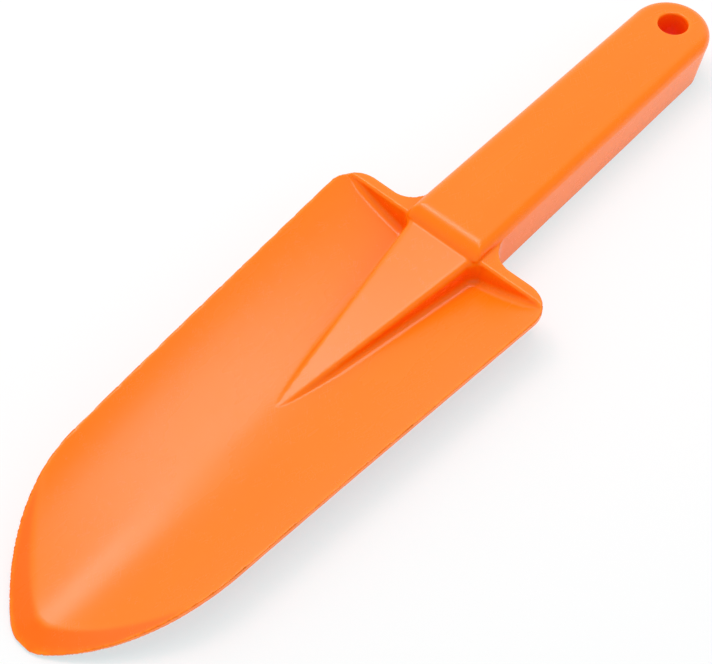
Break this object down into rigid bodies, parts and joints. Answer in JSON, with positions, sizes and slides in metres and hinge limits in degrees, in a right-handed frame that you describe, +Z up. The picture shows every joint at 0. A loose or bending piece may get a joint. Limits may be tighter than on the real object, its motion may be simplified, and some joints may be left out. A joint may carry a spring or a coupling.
{
  "type": "camp trowel",
  "caption": "Camp trowel in one plastic moulding: scooped blade with a bevelled round tip, hollow spine, shoulder wall, and a channel handle with a hanging hole.",
  "frame": {"origin": "middle of the length and width, on the surface that the trowel lies on with the hollow of its blade facing up", "axes": "+X from the butt of the handle to the tip of the blade, +Z up out of the hollow of the blade, the trowel the same on both sides of Y = 0"},
  "size_m": [0.27, 0.0724, 0.0171],
  "materials": {
    "handle_plastic": "satin moulded",
    "blade_plastic": "satin moulded"
  },
  "bodies": {
    "root": {"handle_deck": "handle_plastic", "handle_side_left": "handle_plastic", "handle_side_right": "handle_plastic", "butt_wall": "handle_plastic", "hanging_eyelet": "handle_plastic", "handle_rib_1": "handle_plastic", "handle_rib_2": "handle_plastic", "handle_rib_3": "handle_plastic", "handle_rib_4": "handle_plastic", "neck_collar": "handle_plastic", "shoulder_wall": "blade_plastic", "spine": "blade_plastic", "blade_floor": "blade_plastic", "blade_wing_left": "blade_plastic", "blade_wing_right": "blade_plastic", "blade_tip": "blade_plastic"}
  },
  "joints": []
}
